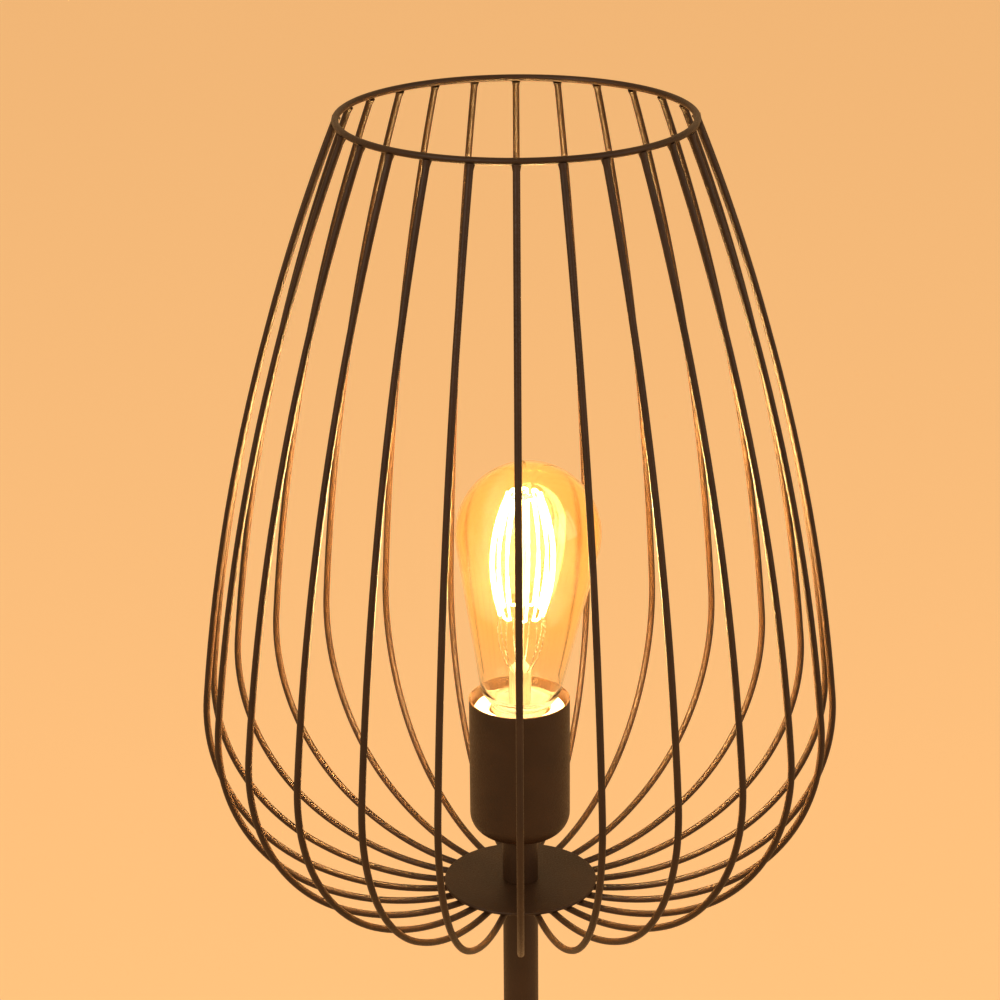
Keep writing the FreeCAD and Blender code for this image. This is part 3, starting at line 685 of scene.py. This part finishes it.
def glass_line(wall):
    """The glass from its top down to its neck as (radius, height), drawn in by a wall."""
    radius = bulb_radius - wall
    centre = tip_low.z + bulb_length - bulb_radius
    neck = glass_neck_radius - wall
    rise = centre - glass_neck_level
    taper = math.asin(radius / math.hypot(neck, rise)) - math.atan2(neck, rise)
    dome_steps = 48
    line = []
    for step in range(dome_steps + 1):
        angle = math.pi / 2 - (math.pi / 2 + taper) * step / dome_steps
        line.append((radius * math.cos(angle), centre + radius * math.sin(angle)))
    end_radius, end_level = line[-1]
    taper_steps = 14
    for step in range(1, taper_steps + 1):
        share = step / taper_steps
        line.append((end_radius + (neck - end_radius) * share,
                     end_level + (glass_neck_level - end_level) * share))
    return line


def shoulder_line(start, end, bow):
    """The glass turning in from its neck to the cap, bowed outwards."""
    steps = 8
    points = []
    for step in range(1, steps + 1):
        share = step / steps
        out = bow * math.sin(math.pi * share)
        points.append((start[0] + (end[0] - start[0]) * share + out,
                       start[1] + (end[1] - start[1]) * share))
    return points


def make_bulb():
    outside = glass_line(0.0)
    inside = glass_line(glass_wall)
    bore = seal_radius - glass_wall
    foot = glass_foot_level
    shoulder = (glass_shoulder_radius, cap_high.z + shoulder_rise)
    inner_shoulder = (bore, shoulder[1] + glass_wall)
    outline = outside + shoulder_line(outside[-1], shoulder, outer_bow)
    outline += [(seal_radius, shoulder[1]), (seal_radius, foot), (bore, foot), inner_shoulder]
    outline += shoulder_line(inside[-1], inner_shoulder, inner_bow)[-2::-1] + inside[::-1]
    glass = add_piece("glass", lathe(outline, 128), "bulb_glass", crease=math.radians(75))
    lean(glass, bulb_lean)

    cap_radius = cap_high.x
    thread = rolled_thread(thread_depth, cap_low.z + cap_plain_foot, cap_high.z - cap_plain_rim)
    narrow = cap_radius - cap_turn_in
    wall = wall_outline(cap_radius - thread_depth / 2, cap_wall, cap_low.z + cap_turn_in, cap_high.z)
    outline = [(narrow, cap_low.z)] + wall + [(narrow - cap_wall, cap_low.z + cap_wall)]
    add_piece("cap", lathe(outline, 96, wobble=thread), "bulb_cap")

    upper = insulator_high.x
    outline = rounded([
        (0, insulator_low.z, 0), (insulator_radius, insulator_low.z, 0.5 * MM),
        (upper, insulator_high.z - cap_wall, 0.2 * MM), (upper, insulator_high.z, 0),
        (0, insulator_high.z, 0),
    ], 5)
    add_piece("insulator", lathe(outline, closed=False), "bulb_insulator")

    tip = tip_high.x
    outline = rounded([
        (0, tip_low.z, 0), (tip_radius, tip_low.z, tip_rounding),
        (tip, tip_low.z + tip_rounding, 0.6 * MM), (tip, tip_high.z, 0), (0, tip_high.z, 0),
    ], 6)
    add_piece("tip_contact", lathe(outline, 64, closed=False), "bulb_tip_contact")

    outline = rounded([
        (0, foot, 0), (stem_flare, foot, fine_edge), (stem_flare, foot + glass_wall, fine_edge),
        (stem_radius, foot + stem_flare, 4 * MM), (stem_radius, stem_top - stem_radius, 2 * MM),
        (rod_radius, stem_top, 1.2 * MM), (rod_radius, strand_high - button_height, 0.4 * MM),
        (button_radius, strand_high - button_height, 0.8 * MM), (button_radius, strand_high, 0.8 * MM),
        (0, strand_high, 0),
    ], 6)
    stem = add_piece("stem", lathe(outline, 64, closed=False), "bulb_stem", crease=math.radians(60))
    lean(stem, stem_lean)
    make_filament()
    make_supports()


def bow_line(foot, top, bulge, steps=20):
    """Points of a bow from (radius, height) foot to top."""
    points = []
    for step in range(steps + 1):
        share = step / steps
        out = 4 * bulge * share * (1 - share)
        points.append((foot[0] + (top[0] - foot[0]) * share + out,
                       foot[1] + (top[1] - foot[1]) * share))
    return points


def about_axis(point, azimuth):
    radius, height = point
    return Vector((radius * math.cos(azimuth), radius * math.sin(azimuth), height))


def make_filament():
    """One filament that goes up and down as a barrel of strands, over a hook at each bend."""
    strand = bow_line((strand_foot_radius, strand_low), (strand_top_radius, strand_high), strand_bulge)
    spacing = 2 * math.pi / strand_count
    points = []
    for index in range(strand_count):
        course = strand if index % 2 == 0 else strand[::-1]
        points += [about_axis(point, spacing * index) for point in course]
        if index < strand_count - 1:
            radius, level = course[-1]
            over = hook_rise if index % 2 == 0 else -hook_rise
            points += [about_axis((radius, level + over), spacing * (index + share))
                       for share in (0.25, 0.5, 0.75)]
    radii = [glow_radius * (1 + coil_ripple * (-1) ** index) for index in range(len(points))]
    lean(add_piece("filament", tube_along(points, radii, sides=10), "bulb_filament"), stem_lean)


def make_supports():
    """Thin wires that fan out from the stem, and from the button, to the filament's bends."""
    spacing = 2 * math.pi / strand_count
    hold = strand_radius + support_radius
    start = (stem_radius - stem_sink, stem_top - stem_radius)
    lower = bow_line(start, (strand_foot_radius, strand_low - hold), support_bulge, 14)
    mesh = bmesh.new()
    ends = [0.0, -spacing]
    bends = [spacing * (index + 0.5) for index in range(1, strand_count - 1, 2)]
    for azimuth in ends + bends:
        points = [about_axis(point, azimuth) for point in lower]
        tube_along(points, [support_radius] * len(points), sides=8, mesh=mesh)
    level = strand_high - hold - support_gap
    upper = bow_line((button_radius - button_sink, level), (strand_top_radius + hook_reach, level), 0.0, 6)
    upper = [(radius, height + hook_tip_rise * (radius > strand_top_radius)) for radius, height in upper]
    for index in range(0, strand_count, 2):
        points = [about_axis(point, spacing * (index + 0.5)) for point in upper]
        tube_along(points, [support_radius] * len(points), sides=8, mesh=mesh)
    lean(add_piece("support_wires", mesh, "filament_supports"), stem_lean)


make_cage()
make_pole()
make_base()
make_holder()
make_bulb()


# ---------------------------------------------------------------- stage
def seen_by_eye(tree, strength):
    """The strength for rays from the camera, also by way of gloss or glass, and else 0."""
    path = tree.nodes.new("ShaderNodeLightPath")
    total = None
    for kind in ("Is Camera Ray", "Is Glossy Ray", "Is Transmission Ray"):
        if total is None:
            total = path.outputs[kind]
            continue
        either = tree.nodes.new("ShaderNodeMath")
        either.operation = "MAXIMUM"
        tree.links.new(total, either.inputs[0])
        tree.links.new(path.outputs[kind], either.inputs[1])
        total = either.outputs["Value"]
    scale = tree.nodes.new("ShaderNodeMath")
    scale.operation = "MULTIPLY"
    scale.inputs[1].default_value = strength
    tree.links.new(total, scale.inputs[0])
    return scale.outputs["Value"]


def make_stage():
    """A pale floor and a world of the same warm colour."""
    floor_radius = 30.0
    material = bpy.data.materials.new("stage_floor")
    material.use_nodes = True
    tree = material.node_tree
    shader = tree.nodes["Principled BSDF"]
    shader.inputs["Roughness"].default_value = 0.9
    shader.inputs["Specular IOR Level"].default_value = 0.1
    shader.inputs["Base Color"].default_value = (0.88, 0.55, 0.26, 1.0)
    shader.inputs["Emission Color"].default_value = (0.95, 0.53, 0.21, 1.0)
    tree.links.new(seen_by_eye(tree, 0.38), shader.inputs["Emission Strength"])

    mesh = bmesh.new()
    bmesh.ops.create_circle(mesh, cap_ends=True, segments=128, radius=floor_radius)
    data = bpy.data.meshes.new("stage_floor")
    mesh.to_mesh(data)
    mesh.free()
    data.materials.append(material)
    floor = bpy.data.objects.new("stage_floor", data)
    bpy.context.scene.collection.objects.link(floor)

    world = bpy.data.worlds.new("studio")
    bpy.context.scene.world = world
    world.use_nodes = True
    tree = world.node_tree
    light = tree.nodes["Background"]
    light.inputs["Color"].default_value = (1.0, 0.82, 0.64, 1.0)
    light.inputs["Strength"].default_value = 0.55
    seen = tree.nodes.new("ShaderNodeBackground")
    seen.inputs["Color"].default_value = (0.92, 0.54, 0.24, 1.0)
    seen.inputs["Strength"].default_value = 1.0
    mix = tree.nodes.new("ShaderNodeMixShader")
    tree.links.new(seen_by_eye(tree, 1.0), mix.inputs["Fac"])
    tree.links.new(light.outputs["Background"], mix.inputs[1])
    tree.links.new(seen.outputs["Background"], mix.inputs[2])
    tree.links.new(mix.outputs["Shader"], tree.nodes["World Output"].inputs["Surface"])


def add_light(name, place, target, size, power, colour):
    data = bpy.data.lights.new(name, "AREA")
    data.shape = "SQUARE"
    data.size = size
    data.energy = power
    data.color = colour
    light = bpy.data.objects.new(name, data)
    light.location = place
    light.rotation_euler = (Vector(target) - Vector(place)).to_track_quat("-Z", "Y").to_euler()
    bpy.context.scene.collection.objects.link(light)


def make_camera():
    """The camera of the photograph, from a fit to the ring, disc, cup and wires."""
    pitch = 0.3578
    yaw = -0.0065
    roll = -0.0079
    distance = 1.22
    rise = 0.6395                           # above the cage's disc
    forward = Vector((math.sin(yaw) * math.cos(pitch), math.cos(yaw) * math.cos(pitch),
                      -math.sin(pitch)))
    data = bpy.data.cameras.new("camera")
    data.sensor_width = 36.0
    data.lens = 108.1
    camera = bpy.data.objects.new("camera", data)
    camera.location = (0, -distance, disc_high.z + rise)
    level = forward.to_track_quat("-Z", "Y").to_matrix()
    camera.rotation_euler = (level @ Matrix.Rotation(roll, 3, "Z")).to_euler()
    bpy.context.scene.collection.objects.link(camera)
    bpy.context.scene.camera = camera


make_stage()
add_light("key", (-2.6, -3.0, 3.6), (0, 0, 0.9), 2.6, 95.0, (1.0, 0.9, 0.78))
add_light("fill", (3.4, -1.6, 2.4), (0, 0, 0.9), 2.6, 45.0, (1.0, 0.88, 0.76))
make_camera()

bpy.context.scene.view_settings.view_transform = "Standard"
